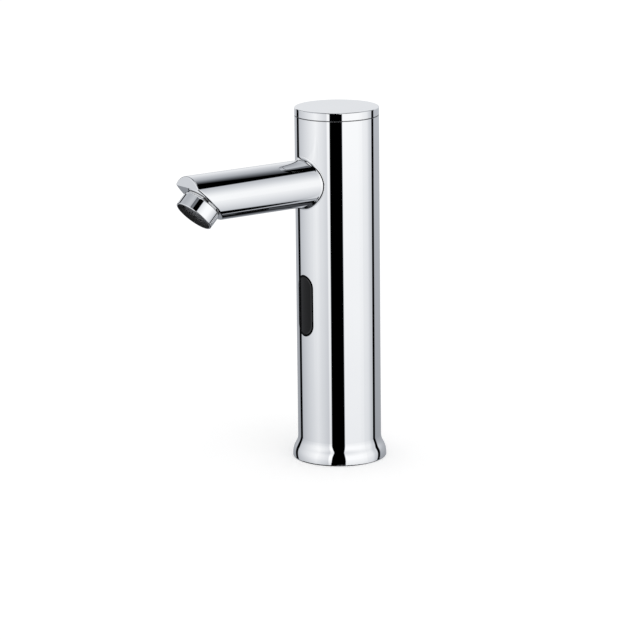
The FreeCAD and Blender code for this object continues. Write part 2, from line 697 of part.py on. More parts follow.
solenoid_y = place("solenoid_y", -size.valve_forward)
valve_blank = cylinder("valve_blank", valve_radius, size.valve_height, z=valve_base)
valve_socket = cylinder("valve_socket", socket_radius, size.valve_socket, z=valve_base)
inlet_ring = cut(
    "inlet_ring",
    cylinder("inlet_ring_outer", annulus_outer, size.annulus_depth, y=solenoid_y,
             z=valve_top - size.annulus_depth),
    cylinder("inlet_ring_core", nozzle_outer, size.annulus_depth, y=solenoid_y,
             z=valve_top - size.annulus_depth))
lip_relief = cylinder("lip_relief", nozzle_outer, size.nozzle_drop, y=solenoid_y, z=nozzle_lip)
feed_radius = (annulus_outer - nozzle_outer) / 2
inlet_feed = cylinder("inlet_feed", feed_radius, valve_top - valve_top_room,
                      y=solenoid_y - (nozzle_outer + annulus_outer) / 2, z=valve_top_room)
nozzle_way = cylinder("nozzle_way", size.nozzle_radius, valve_top - outlet_level, y=solenoid_y,
                      z=outlet_level)
outlet_way = cylinder("outlet_way", size.outlet_way_radius, riser_back + size.valve_forward,
                      y=riser_back, z=outlet_level, turn=FORWARD)
riser_way = cylinder("riser_way", size.riser_radius - size.riser_wall, valve_top - outlet_level,
                     y=riser_back, z=outlet_level)
riser_socket = cylinder("riser_socket", size.riser_radius + size.screw_play, size.riser_insert,
                        y=riser_back, z=valve_top - size.riser_insert)
seal_room = size.ring_wire + size.ring_squeeze
riser_seal_pocket = cylinder("riser_seal_pocket", size.riser_radius + seal_room, seal_room,
                             y=riser_back, z=valve_top - seal_room)

SCREW_ANGLES = (45, 135, 225, 315)
screw_circle = (bonnet_radius + annulus_outer) / 2
screw_spots = [(screw_circle * math.cos(math.radians(angle)),
                solenoid_y + screw_circle * math.sin(math.radians(angle))) for angle in SCREW_ANGLES]
screw_grip = size.bonnet_height - size.m3_head
bonnet_tappings = [cylinder(f"bonnet_tapping_{index}", size.m3_radius + size.seat_play, size.tapping_depth,
                            x=x, y=y, z=valve_top - size.tapping_depth)
                   for index, (x, y) in enumerate(screw_spots)]
frame_tappings = [cylinder(f"frame_tapping_{label}", size.m3_radius + size.seat_play, size.tapping_depth,
                           x=side * (rail_offset - size.frame_foot_reach / 2),
                           z=valve_top - size.tapping_depth)
                  for label, side in SIDES]
node(cut("valve_body", valve_blank, valve_socket, inlet_ring, lip_relief, inlet_feed, nozzle_way,
         outlet_way, riser_way, riser_socket, riser_seal_pocket, *bonnet_tappings, *frame_tappings))

node(torus("riser_seal", size.riser_radius + seal_room / 2, half_wire, y=riser_back,
           z=valve_top - seal_room / 2))

bonnet_blank = turned("bonnet_blank", [
    (annulus_outer, 0),
    (bonnet_radius, 0),
    (bonnet_radius, size.bonnet_height),
    (size.pilot_radius, size.bonnet_height),
    (size.pilot_radius, size.bonnet_height - size.bonnet_roof),
    (annulus_outer, size.bonnet_height - size.bonnet_roof),
], y=solenoid_y, z=valve_top)
bonnet_holes = [cylinder(f"bonnet_hole_{index}", size.m3_radius + size.seat_play, size.bonnet_height,
                         x=x, y=y, z=valve_top) for index, (x, y) in enumerate(screw_spots)]
node(cut("valve_bonnet", bonnet_blank, *bonnet_holes))

bonnet_screws = doc.addObject("Part::Compound", "bonnet_screws")
bonnet_screws.Links = [
    stepped(f"bonnet_screw_{index}", [(size.m3_radius, size.bonnet_height + size.screw_bite),
                                      (size.m3_head_radius, size.m3_head)],
            x=x, y=y, z=valve_top - size.screw_bite)
    for index, (x, y) in enumerate(screw_spots)]
node(bonnet_screws)

piston_radius = annulus_outer - size.screw_play
node(cylinder("piston_seat", size.piston_seal_radius, size.nozzle_drop + size.plunger_tip,
              y=solenoid_y, z=nozzle_lip))
piston_base = place("piston_base", valve_top + size.plunger_tip)
node(cylinder("valve_piston", piston_radius, size.piston_height, y=solenoid_y, z=piston_base))
PISTON_WIRE = 0.25
PISTON_TURNS = 3
node(spring("piston_spring", PISTON_WIRE, number(size.piston_seal_radius),
            chamber_roof - piston_base - size.piston_height, PISTON_TURNS, solenoid_y,
            piston_base + size.piston_height))

guide_bore = size.guide_radius - size.guide_wall
guide_rim = size.guide_radius + size.guide_flange_width
node(turned("guide_tube", [
    (guide_bore, 0),
    (guide_rim, 0),
    (guide_rim, yoke_base - bonnet_top),
    (size.guide_radius, yoke_base - bonnet_top),
    (size.guide_radius, size.guide_height),
    (0, size.guide_height),
    (0, size.guide_height - size.guide_wall),
    (guide_bore, size.guide_height - size.guide_wall),
], y=solenoid_y, z=bonnet_top))

plunger_base = place("plunger_base", bonnet_top + size.plunger_tip)
node(cylinder("plunger_tip", guide_bore / 2, size.plunger_tip, y=solenoid_y, z=bonnet_top))
node(cylinder("plunger", guide_bore - size.screw_play, size.plunger_length, y=solenoid_y, z=plunger_base))
PLUNGER_WIRE = 0.3
PLUNGER_TURNS = 6
node(spring("plunger_spring", PLUNGER_WIRE, number(guide_bore) / 2,
            guide_top - size.guide_wall - plunger_base - size.plunger_length, PLUNGER_TURNS, solenoid_y,
            plunger_base + size.plunger_length))

coil_room = size.yoke_height - 2 * size.yoke_plate - 4 * size.seat_play
coil_blank = cylinder("coil_blank", size.coil_radius, coil_room, y=solenoid_y,
                      z=yoke_base + size.yoke_plate + 2 * size.seat_play)
guide_clearance = cylinder("guide_clearance", size.guide_radius + size.seat_play, size.guide_height,
                           y=solenoid_y, z=bonnet_top)
node(cut("solenoid_coil", coil_blank, guide_clearance))

half_yoke = size.yoke_width / 2
yoke_front = solenoid_y - size.yoke_depth / 2
yoke_back = solenoid_y + size.yoke_depth / 2
yoke_block = box("yoke_block", (-half_yoke, yoke_front, yoke_base), (half_yoke, yoke_back, yoke_top))
yoke_window = box("yoke_window", (-half_yoke + size.yoke_plate, yoke_front - 1, yoke_base + size.yoke_plate),
                  (half_yoke - size.yoke_plate, yoke_back + 1, yoke_top - size.yoke_plate))
node(cut("solenoid_frame", yoke_block, yoke_window, guide_clearance))
node(cut("coil_clip", cylinder("clip_blank", guide_rim, size.clip_height, y=solenoid_y,
                               z=yoke_top), guide_clearance))

# --- riser tube ----------------------------------------------------------------------------------

riser_top = connector_base + size.riser_insert
riser_cross_top = min(number(connector_base), number(shelf_top)) - number(size.riser_bend)
riser_path = bent_path([
    Vector(0, number(riser_back), number(valve_top - size.riser_insert)),
    Vector(0, number(riser_back), number(bar_top + size.riser_clearance)),
    Vector(0, -number(riser_front), riser_cross_top),
    Vector(0, -number(riser_front), number(riser_top)),
], bend=number(size.riser_bend))
riser_outside = tube(riser_path, number(size.riser_radius))
riser_inside = tube(riser_path, number(size.riser_radius - size.riser_wall))
node(shaped("riser_tube", riser_outside.cut(riser_inside)))

# --- sensor module behind the window -------------------------------------------------------------

lens_width = size.window_width - 2 * size.window_gap
lens_height = size.window_height - 2 * size.window_gap
lens_plug = common(
    "lens_plug",
    stadium("lens_outline", lens_width, lens_height, -bore / 2, size.window_centre, size.column_radius),
    ring("lens_curve", flange_inner, window_radius, size.column_height))
lens_flange = common(
    "lens_flange",
    stadium("flange_outline", size.window_width + 2 * size.window_flange,
            size.window_height + 2 * size.window_flange, -bore / 2, size.window_centre, size.column_radius),
    ring("flange_curve", flange_inner, flange_outer, size.column_height))
node(fuse("window", lens_plug, lens_flange))

gasket_outline = cut(
    "gasket_outline",
    stadium("gasket_outside", size.window_width + 2 * size.window_flange,
            size.window_height + 2 * size.window_flange, -bore / 2, size.window_centre, size.column_radius),
    stadium("gasket_inside", size.window_width, size.window_height, -bore / 2, size.window_centre,
            size.column_radius))
node(common("window_gasket", gasket_outline,
            ring("gasket_curve", flange_outer + size.seat_play, bore - size.seat_play, size.column_height)))

half_housing = housing_width / 2
housing_blank = common(
    "housing_blank",
    box("housing_block", (-half_housing, -size.column_radius, housing_base),
        (half_housing, -size.housing_back, housing_top)),
    cylinder("housing_limit", flange_inner - size.seat_play, size.column_height))
ear_half = rail_offset + size.rail_thickness / 2
rail_front = size.rail_width / 2
tab_low = size.window_centre - size.tab_height / 2
tab_high = size.window_centre + size.tab_height / 2
housing_ears = box("housing_ears", (-ear_half, -size.housing_back, tab_low),
                   (ear_half, -rail_front, tab_high))
housing_room = box("housing_room",
                   (-half_housing + size.housing_wall, -size.column_radius, housing_base + size.housing_wall),
                   (half_housing - size.housing_wall, -size.housing_back - size.housing_wall,
                    housing_top - size.housing_wall))
tab_screw_x = rail_offset - size.tab_screw_inset
tab_holes = [cylinder(f"tab_hole_{label}", size.m3_radius + size.seat_play, size.column_radius,
                      x=side * tab_screw_x, z=size.window_centre, turn=FORWARD)
             for label, side in SIDES]
node(cut("sensor_housing", fuse("housing_body", housing_blank, housing_ears), housing_room, *tab_holes))

board_back = -size.housing_back - size.housing_wall - size.board_stand
board_front = board_back - size.board_thickness
board_margin = size.housing_wall + size.pocket_play
board_plate = box("board_plate",
                  (-half_housing + board_margin, board_front, housing_base + board_margin),
                  (half_housing - board_margin, board_back, housing_top - board_margin))
board_stand = box("board_chip", (-size.diode_radius, board_back, size.window_centre - size.diode_offset),
                  (size.diode_radius, board_back + size.board_stand, size.window_centre + size.diode_offset))
node(fuse("sensor_board", board_plate, board_stand))


def diode(name, radius, height):
    """A round-nosed diode standing on the board and looking out through the window."""
    straight = size.diode_length - radius
    return node(put(turned(name, [
        (0, 0),
        (radius, 0),
        (radius, straight),
        arc_to(0, size.diode_length, radius, True),
    ]), y=board_front, z=height, turn=FORWARD))


diode("ir_emitter", size.diode_radius, size.window_centre + size.diode_offset)
diode("ir_receiver", size.diode_radius, size.window_centre - size.diode_offset)
diode("status_light", size.lamp_radius, size.window_centre)

# --- inner frame ---------------------------------------------------------------------------------


def beside(name, side, inner, outer, low_y, high_y, low_z, high_z):
    """A box between two distances from the mirror plane, on one side of it."""
    near, far = (inner, outer) if side > 0 else (-outer, -inner)
    return box(name, (near, low_y, low_z), (far, high_y, high_z))


def rail(name, side):
    half = size.rail_thickness / 2
    return beside(name, side, rail_offset - half, rail_offset + half, -rail_front, rail_front,
                  valve_top, shelf_top)


def frame_foot(name, side):
    return beside(name, side, rail_offset - size.frame_foot_reach, rail_offset,
                  -rail_front, rail_front, valve_top, valve_top + size.rail_thickness)


def sensor_tab(name, side):
    return beside(name, side, half_housing + size.housing_wall, rail_offset,
                  -rail_front, -rail_front + size.rail_thickness, tab_low, tab_high)


shelf = box("battery_shelf", (-rail_offset, -rail_front, shelf_top - size.rail_thickness),
            (rail_offset, rail_front, shelf_top))
cross_bar = box("cross_bar", (-rail_offset, -rail_front, bar_top - size.rail_thickness),
                (rail_offset, rail_front, bar_top))
side_pieces = [part(f"{part.__name__}_{label}", side)
               for part in (rail, frame_foot, sensor_tab) for label, side in SIDES]
frame_solid = fuse("frame_solid", shelf, cross_bar, *side_pieces)
foot_holes = [cylinder(f"foot_hole_{label}", size.m3_radius + size.seat_play, size.rail_thickness * 3,
                       x=side * (rail_offset - size.frame_foot_reach / 2),
                       z=valve_top - size.rail_thickness)
              for label, side in SIDES]
node(cut("inner_frame", frame_solid, *foot_holes, *tab_holes))


def frame_screw(name, side):
    grip = size.rail_thickness + size.screw_bite
    return stepped(name, [(size.m3_radius, grip), (size.slim_head_radius, size.m3_head)],
                   x=side * (rail_offset - size.frame_foot_reach / 2),
                   z=valve_top + size.rail_thickness - grip)


def sensor_screw(name, side):
    grip = size.housing_back - rail_front + size.rail_thickness
    return stepped(name, [(size.m3_radius, grip), (size.m3_head_radius, size.m3_head)],
                   x=side * tab_screw_x, y=-size.housing_back + grip, z=size.window_centre,
                   turn=FORWARD)


node(mirrored_pair("frame_screws", frame_screw))
node(mirrored_pair("sensor_screws", sensor_screw))

# --- battery compartment -------------------------------------------------------------------------

pocket_width = size.battery_width + 2 * size.battery_play
pocket_depth = size.battery_depth + 2 * size.battery_play
holder_blank = common(
    "holder_blank",
    cylinder("holder_round", bore - size.holder_gap, lid_base - shelf_top, z=shelf_top),
    box("holder_front_limit", (-bore, -holder_front, shelf_top), (bore, bore, lid_base)))
holder_pocket = rounded_block("holder_pocket", pocket_width, pocket_depth, size.battery_height * 2,
                              size.battery_corner + size.battery_play, size.battery_back, holder_floor)
node(cut("battery_holder", holder_blank, holder_pocket))
node(rounded_block("battery_pack", size.battery_width, size.battery_depth, size.battery_height,
                   size.battery_corner, size.battery_back, battery_base))


def battery_contact(name, side):
    middle = side * size.contact_offset
    half = size.contact_width / 2
    return box(name, (middle - half, size.battery_back - half, holder_floor),
               (middle + half, size.battery_back + half, battery_base))


node(mirrored_pair("battery_contacts", battery_contact))
node(common(
    "battery_lid",
    cylinder("lid_round", bore - size.holder_gap, size.lid_thickness, z=lid_base),
    box("lid_front_limit", (-bore, -holder_front, lid_base),
        (bore, bore, lid_base + size.lid_thickness))))

# --- leads, held inside the column ---------------------------------------------------------------

lead_x = number(size.lead_offset)
lead_radius = number(size.lead_radius)
housing_rear = -number(size.housing_back)
battery_lead_y = number(rail_front + size.lead_bow) + lead_radius
battery_lead_z = number(housing_top - size.lead_inset)
battery_lead_path = bent_path([
    Vector(lead_x, battery_lead_y, number(shelf_top)),
    Vector(lead_x, battery_lead_y, battery_lead_z),
    Vector(lead_x, housing_rear, battery_lead_z),
])
node(shaped("battery_lead", tube(battery_lead_path, lead_radius)))

coil_face = number(solenoid_y) + math.sqrt(number(size.coil_radius) ** 2 - (lead_x - lead_radius) ** 2)
coil_lead_y = coil_face + number(size.coil_lead_bow)
coil_lead_low = number(yoke_base) + number(size.yoke_height) / 2
coil_lead_high = number(housing_base + size.lead_inset)
coil_lead_path = bent_path([
    Vector(-lead_x, coil_face + number(size.seat_play), coil_lead_low),
    Vector(-lead_x, coil_lead_y, coil_lead_low),
    Vector(-lead_x, coil_lead_y, coil_lead_high),
    Vector(-lead_x, housing_rear, coil_lead_high),
])
node(shaped("coil_lead", tube(coil_lead_path, lead_radius)))

# --- spout and its connector ---------------------------------------------------------------------


def widen_root(column_face, spout_bar, radius):
    """Joins the spout to a stand-in for the column and fillets the seam between them."""
    joined = fuse("root_joined", column_face, spout_bar)
    doc.recompute()
    rounded = doc.addObject("Part::Fillet", "root_rounded")
    rounded.Base = joined
    reach = number(size.spout_radius) + 1
    seam = [index for index, edge in enumerate(joined.Shape.Edges, 1)
            if edge.Curve.TypeId != "Part::GeomCircle" and edge.Curve.TypeId != "Part::GeomLine"
            and abs(edge.BoundBox.ZMax - number(spout_height)) < reach]
    rounded.Edges = [(index, number(radius), number(radius)) for index in seam]
    return rounded


root_radius = size.column_radius + size.seat_play
root_length = 2 * (size.spout_radius + 4 * size.spout_foot)
column_face = cylinder("column_face", root_radius, root_length, z=spout_height - root_length / 2)
spout_bar = cylinder("spout_bar", size.spout_radius, size.spout_reach, z=spout_height, turn=FORWARD)
bar_with_foot = widen_root(column_face, spout_bar, size.spout_foot)
slant_run = cosine(size.cut_angle) / sine(size.cut_angle)
slant_depth = 3 * size.spout_radius
slant = at_outlet(cylinder("slant", slant_depth, slant_depth))
end_trimmed = cut("end_trimmed", bar_with_foot, slant)


def round_end(trimmed, radius):
    """Rounds the edges of the end face and of the slanted outlet face."""
    doc.recompute()
    cut_back = outlet_y + (outlet_z - spout_height + size.spout_radius) * slant_run
    limit = number(cut_back) + 1
    rounded = doc.addObject("Part::Fillet", "end_rounded")
    rounded.Base = trimmed
    edges = [index for index, edge in enumerate(trimmed.Shape.Edges, 1)
             if edge.BoundBox.YMax < limit and edge.Curve.TypeId != "Part::GeomLine"]
    rounded.Edges = [(index, number(radius), number(radius)) for index in edges]
    return rounded


end_rounded = round_end(end_trimmed, size.spout_rounding)
column_clearance = cylinder("column_clearance", root_radius, root_length * 2,
                            z=spout_height - root_length)
socket_depth = size.aerator_neck_length + size.washer_thickness + size.pocket_play
socket_floor_y = outlet_y + socket_depth * sine(size.cut_angle)
socket_floor_z = outlet_z + socket_depth * cosine(size.cut_angle)
socket_bore = at_outlet(cylinder("socket_bore", neck_thread_radius + size.screw_play, socket_depth))
socket_bore.setExpression("Placement.Base.y", socket_floor_y.formula)
socket_bore.setExpression("Placement.Base.z", socket_floor_z.formula)
# The waterway runs until its top meets the floor of the aerator's socket.
waterway_end = (spout_height + size.waterway_radius - socket_floor_z) * slant_run - socket_floor_y
waterway = cylinder("waterway", size.waterway_radius, waterway_end, z=spout_height, turn=FORWARD)
root_tappings = [
    cylinder(f"root_tapping_{label}", size.spout_screw_radius + size.seat_play,
             connector_back + size.spout_screw_head + size.spout_screw_length + size.tapping_relief,
             x=side * size.spout_screw_offset, z=spout_height, turn=FORWARD)
    for label, side in SIDES]
node(cut("spout", end_rounded, column_clearance, socket_bore, waterway, *root_tappings))

spigot_radius = size.waterway_radius - size.screw_play
spigot_end = pad_face + size.spigot_length
connector_block = box("connector_block", (-size.connector_width / 2, -pad_face, connector_base),
                      (size.connector_width / 2, -connector_back, connector_base + size.connector_height))
connector_spigot = cylinder("connector_spigot", spigot_radius, size.spigot_length, y=-pad_face,
                            z=spout_height, turn=FORWARD)
connector_way = cylinder("connector_way", size.spigot_way, spigot_end - riser_front,
                         y=-riser_front, z=spout_height, turn=FORWARD)
riser_port = cylinder("riser_port", size.riser_radius + size.seat_play, size.riser_insert,
                      y=-riser_front, z=connector_base)
elbow_way = cylinder("elbow_way", size.riser_radius - size.riser_wall, size.connector_height / 2,
                     y=-riser_front, z=connector_base)
groove_floor = spigot_radius - size.ring_wire + size.ring_squeeze
groove_width = size.ring_wire + 2 * size.ring_squeeze
groove_start = size.column_radius + size.groove_land
connector_groove = put(cut(
    "connector_groove",
    cylinder("connector_groove_outer", size.waterway_radius + size.ring_wire, groove_width),
    cylinder("connector_groove_floor", groove_floor, groove_width)),
    y=-groove_start, z=spout_height, turn=FORWARD)


def screw_seat(name, side):
    """Clearance for a spout screw and its sunk head in the connector."""
    return stepped(name, [
        (size.spout_screw_head + 2 * size.seat_play, size.spout_screw_head),
        (size.spout_screw_radius + 2 * size.seat_play, size.column_radius),
    ], x=side * size.spout_screw_offset, y=-connector_back, z=spout_height, turn=FORWARD)


node(cut("spout_connector", fuse("connector_solid", connector_block, connector_spigot),
         connector_way, riser_port, elbow_way, connector_groove,
         *[screw_seat(f"screw_seat_{label}", side) for label, side in SIDES]))
node(torus("spout_seal", size.waterway_radius - size.ring_wire / 2, half_wire,
           y=-groove_start - groove_width / 2, z=spout_height, turn=FORWARD))


def spout_screw(name, side):
    return stepped(name, [
        (size.spout_screw_head, size.spout_screw_head),
        (size.spout_screw_radius, size.spout_screw_length),
    ], x=side * size.spout_screw_offset, y=-connector_back, z=spout_height, turn=FORWARD)


node(mirrored_pair("spout_screws", spout_screw))

# --- aerator, built on its own axis and stood on the outlet face ----------------------------------

mouth = size.aerator_seam + size.aerator_length
mouth_radius = size.aerator_radius - size.aerator_mouth_wall
lip_radius = insert_bore_radius - size.aerator_lip
edge = size.aerator_rounding
neck_end = -size.aerator_neck_length
lip_face = mouth - size.aerator_recess
node(at_outlet(turned("aerator_housing", [
    (insert_bore_radius, neck_end),
    (neck_thread_radius - size.edge_break, neck_end),
    (neck_thread_radius, neck_end + size.edge_break),
    (neck_thread_radius, size.aerator_seam),
    (size.aerator_radius - edge, size.aerator_seam),
    arc_to(size.aerator_radius, size.aerator_seam + edge, edge, True),
    (size.aerator_radius, mouth - edge),
    arc_to(size.aerator_radius - edge, mouth, edge, True),
    (mouth_radius, mouth),
    (mouth_radius, lip_face),
    (lip_radius, lip_face),
    (lip_radius, lip_face - size.lip_thickness),
    (insert_bore_radius, lip_face - size.lip_thickness),
])))
node(at_outlet(turned("aerator_washer", [
    (neck_thread_radius - size.washer_width, neck_end - size.washer_thickness),
    (neck_thread_radius, neck_end - size.washer_thickness),
    (neck_thread_radius, neck_end),
    (neck_thread_radius - size.washer_width, neck_end),
])))


def round_hole(x, y, radius):
    return Part.Wire([Part.Circle(Vector(x, y, 0), Vector(0, 0, 1), radius).toShape()])


def square_hole(x, y, width):
    half = width / 2
    corners = [Vector(x - half, y - half, 0), Vector(x + half, y - half, 0),
               Vector(x + half, y + half, 0), Vector(x - half, y + half, 0)]
    return Part.makePolygon(corners + corners[:1])


def grid(pitch, limit, row_shift=0.0, row_step=1.0):
    """Grid points inside a circle; every second row is shifted for a honeycomb."""
    count = int(limit / pitch) + 1
    points = []
    for row in range(-count, count + 1):
        for column in range(-count, count + 1):
            x = (column + row_shift * (row % 2)) * pitch
            y = row * pitch * row_step
            if math.hypot(x, y) < limit:
                points.append((x, y))
    return points


def outward(item, level):
    """Moves a piece that was placed on the outlet face along the aerator's axis."""
    at_outlet(item)
    item.setExpression("Placement.Base.y", (outlet_y - level * sine(size.cut_angle)).formula)
    item.setExpression("Placement.Base.z", (outlet_z - level * cosine(size.cut_angle)).formula)
    return item


insert_radius = number(insert_bore_radius - size.seat_play)
hole_width = number(size.screen_pitch - size.screen_bar)
screen_holes = [square_hole(x, y, hole_width)
                for x, y in grid(number(size.screen_pitch), number(lip_radius) - hole_width * 0.6)]
node(outward(holed_disc("aerator_screen", insert_radius, number(size.mesh_wall), screen_holes), insert_end))

straightener_base = neck_end + size.regulator_height
HONEYCOMB_STEP = math.sqrt(3) / 2
cells = [round_hole(x, y, number(size.cell_radius))
         for x, y in grid(number(size.cell_pitch), insert_radius - 1.5 * number(size.cell_radius), 0.5,
                          HONEYCOMB_STEP)]
node(outward(holed_disc("flow_straightener", insert_radius, number(insert_end - straightener_base), cells),
             straightener_base))

JETS = 8
jets = [round_hole(number(size.jet_circle) * math.cos(math.tau * index / JETS),
                   number(size.jet_circle) * math.sin(math.tau * index / JETS), number(size.jet_radius))
        for index in range(JETS)]
node(outward(holed_disc("flow_regulator", insert_radius, number(size.regulator_height), jets), neck_end))

# --- cap -----------------------------------------------------------------------------------------

spigot_outer = bore - size.screw_play
spigot_inner = spigot_outer - size.cap_spigot_wall
cap_groove_floor = spigot_outer - size.ring_wire
cap_groove_top = size.cap_spigot_length - size.groove_land
cap_groove_base = cap_groove_top - groove_width
cap_level = size.cap_spigot_length + size.cap_seam
node(turned("cap", [
    (spigot_inner, 0),
    (spigot_outer, 0),
    (spigot_outer, cap_groove_base),
    (cap_groove_floor, cap_groove_base),
    (cap_groove_floor, cap_groove_top),
    (spigot_outer, cap_groove_top),
    (spigot_outer, size.cap_spigot_length),
    (size.column_radius - size.cap_seam_depth, size.cap_spigot_length),
    (size.column_radius - size.cap_seam_depth, cap_level),
    (size.column_radius - size.seam_break, cap_level),
    (size.column_radius, cap_level + size.seam_break),
    (size.column_radius, cap_level + size.cap_thickness - size.cap_rounding),
    arc_to(size.column_radius - size.cap_rounding, cap_level + size.cap_thickness, size.cap_rounding, True),
    (0, cap_level + size.cap_thickness),
    (0, cap_level + size.cap_thickness - size.cap_roof),
    (spigot_inner, cap_level + size.cap_thickness - size.cap_roof),
], z=size.column_height - size.cap_spigot_length))
node(torus("cap_seal", spigot_outer - size.ring_wire / 2, half_wire,
           z=size.column_height - size.cap_spigot_length + cap_groove_top - groove_width / 2))


# --- check and export ----------------------------------------------------------------------------

doc.recompute()
for item in doc.Objects:
    if "Invalid" in item.State or "Error" in item.State:
        raise RuntimeError(f"{item.Name} failed: {item.State}")
os.makedirs("parts", exist_ok=True)
for item in NODES:
    if item.Shape.isNull() or not item.Shape.isValid() or not item.Shape.Solids:
        raise RuntimeError(f"{item.Label} has no valid solid")
    item.Shape.exportStep(f"parts/{item.Label}.step")
print(len(NODES), "pieces")
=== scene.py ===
# %% [markdown]
# # A touch-free basin tap in polished chrome
#
# The tap is a turned column with a screw-off cap, a level spout that is cut back at 45 degrees, an aerator
# in that slanted face and a dark sensor window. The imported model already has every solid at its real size,
# so this lesson dresses it: it sets up the camera and the studio and gives each piece its finish. One unit
# is one metre, +Z is up and the spout points along -Y.

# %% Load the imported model
import math

import bpy
from mathutils import Matrix, Vector


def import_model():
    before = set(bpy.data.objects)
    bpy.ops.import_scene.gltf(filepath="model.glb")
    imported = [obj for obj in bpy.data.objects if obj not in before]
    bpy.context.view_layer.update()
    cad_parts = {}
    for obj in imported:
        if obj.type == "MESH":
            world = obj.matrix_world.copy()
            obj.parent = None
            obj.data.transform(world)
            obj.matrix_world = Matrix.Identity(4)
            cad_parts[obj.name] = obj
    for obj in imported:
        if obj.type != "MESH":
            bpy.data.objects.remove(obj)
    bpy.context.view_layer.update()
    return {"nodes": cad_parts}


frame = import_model()
MM = 0.001
scene = bpy.context.scene
nodes = frame["nodes"]

# %% [markdown]
# ## A helper for shader nodes
#
# A finish is a small graph of nodes. Wiring it by hand is slow to read, so one class wraps a node's output
# and lets Python's own operators add the Math nodes: `1 - mask * 0.5` builds the graph that it describes. A
# second class holds the material and has the only method that makes any other kind of node.

# %% Values that calculate with nodes


class Value:
    """One output socket. Adding, subtracting or multiplying it adds a Math node."""

    def __init__(self, finish, socket):
        self.finish = finish
        self.socket = socket

    def math(self, operation, *others):
        """A Math node with this value first and the others after it."""
        return self.finish.math(operation, self, *others)

    def __add__(self, other):
        return self.math("ADD", other)

    def __sub__(self, other):
        return self.math("SUBTRACT", other)

    def __rsub__(self, other):
        return self.finish.math("SUBTRACT", other, self)

    def __mul__(self, other):
        return self.math("MULTIPLY", other)

    __radd__ = __add__
    __rmul__ = __mul__


class Finish:
    """The node tree of a material or of the world, and the one way to add nodes to it."""

    def __init__(self, owner):
        self.owner = owner
        owner.use_nodes = True
        self.tree = owner.node_tree
        self.tree.nodes.clear()

    def node(self, kind, settings=None, inputs=None, output=0):
        """Adds a node: first its settings, then a link or a number for each named socket."""
        made = self.tree.nodes.new(kind)
        for name, value in (settings or {}).items():
            if name == "stops":
                self.fill_ramp(made.color_ramp, value)
            else:
                setattr(made, name, value)
        for name, value in (inputs or {}).items():
            if isinstance(value, Value):
                self.tree.links.new(value.socket, made.inputs[name])
            else:
                made.inputs[name].default_value = value
        return Value(self, made.outputs[output]) if made.outputs else made

    def math(self, operation, *values):
        return self.node("ShaderNodeMath", {"operation": operation}, dict(enumerate(values)))

    @staticmethod
    def fill_ramp(ramp, stops):
        """Stops are (position, colour) pairs."""
        while len(ramp.elements) < len(stops):
            ramp.elements.new(1.0)
        for element, (position, colour) in zip(ramp.elements, stops):
            element.position = position
            element.color = (*colour, 1.0)

    def smooth(self, value, low, high, start=0.0, end=1.0):
        """Start below low, end above high and a soft step between them."""
        return self.node("ShaderNodeMapRange", {"interpolation_type": "SMOOTHSTEP"},
                         {"Value": value, "From Min": low, "From Max": high, "To Min": start, "To Max": end},
                         "Result")

    def position(self, part="Object"):
        return self.node("ShaderNodeTexCoord", output=part)

    def axes(self, vector):
        """The three numbers of a vector."""
        split = self.node("ShaderNodeSeparateXYZ", inputs={"Vector": vector})
        return [Value(self, socket) for socket in split.socket.node.outputs]


print("helper classes ready")

# %% [markdown]
# ## Camera
#
# The camera stands 2 m from the tap, to the right of the spout, and looks down on it by 13 degrees. Its lens
# is long, so that the column's two sides stay almost parallel. Its place was found by matching the outlines
# of column, cap, spout, window and foot. A constraint could aim it at the tap, but that leaves no room for
# the small roll of the picture, so the cell works out the camera's own three axes.

# %% Place the camera
AZIMUTH = math.radians(54.0)
ELEVATION = math.radians(13.24)
ROLL = math.radians(-0.61)
DISTANCE = 2.0
AIM_RIGHT = -11.11 * MM
AIM_HEIGHT = 83.36 * MM
FOCAL_PIXELS = 3340.0
PICTURE_PIXELS = 640

toward_camera = Vector((math.sin(AZIMUTH) * math.cos(ELEVATION), -math.cos(AZIMUTH) * math.cos(ELEVATION),
                        math.sin(ELEVATION)))
level_right = Vector((math.cos(AZIMUTH), math.sin(AZIMUTH), 0.0))
level_up = toward_camera.cross(level_right)
camera_right = level_right * math.cos(ROLL) + level_up * math.sin(ROLL)
camera_up = level_up * math.cos(ROLL) - level_right * math.sin(ROLL)

camera = bpy.data.objects.new("camera", bpy.data.cameras.new("camera"))
scene.collection.objects.link(camera)
camera.data.sensor_width = 36.0
camera.data.lens = FOCAL_PIXELS / PICTURE_PIXELS * camera.data.sensor_width
camera.data.clip_end = 20.0
camera.location = level_right * AIM_RIGHT + Vector((0.0, 0.0, AIM_HEIGHT)) + toward_camera * DISTANCE
axes = Matrix((camera_right, camera_up, toward_camera)).transposed()
camera.rotation_euler = axes.to_euler()
scene.camera = camera
scene.view_settings.view_transform = "Standard"
print("lens", round(camera.data.lens, 1), "mm")

# %% [markdown]
# ## Soft light and a pale floor
#
# A product table is lit evenly from all round. The world gives that even light, and one large lamp above
# adds a soft shadow. Where the camera looks past the tap the world is plain white. The floor is matt and
# white, and a little extra brightness that only the camera sees lets it run into the background, while the
# shadow stays.

# %% World, lamp and floor
WORLD_LIGHT = 0.86
LAMP_STRENGTH = 0.30
FLOOR_SIZE = 6.0
FLOOR_LIFT = 0.22


def light_path_sum(finish, *kinds):
    """1 for rays of any of these kinds, otherwise 0."""
    path = finish.node("ShaderNodeLightPath", output=kinds[0])
    total = path
    for kind in kinds[1:]:
        total = total + Value(finish, path.socket.node.outputs[kind])
    return total.math("MINIMUM", 1.0)


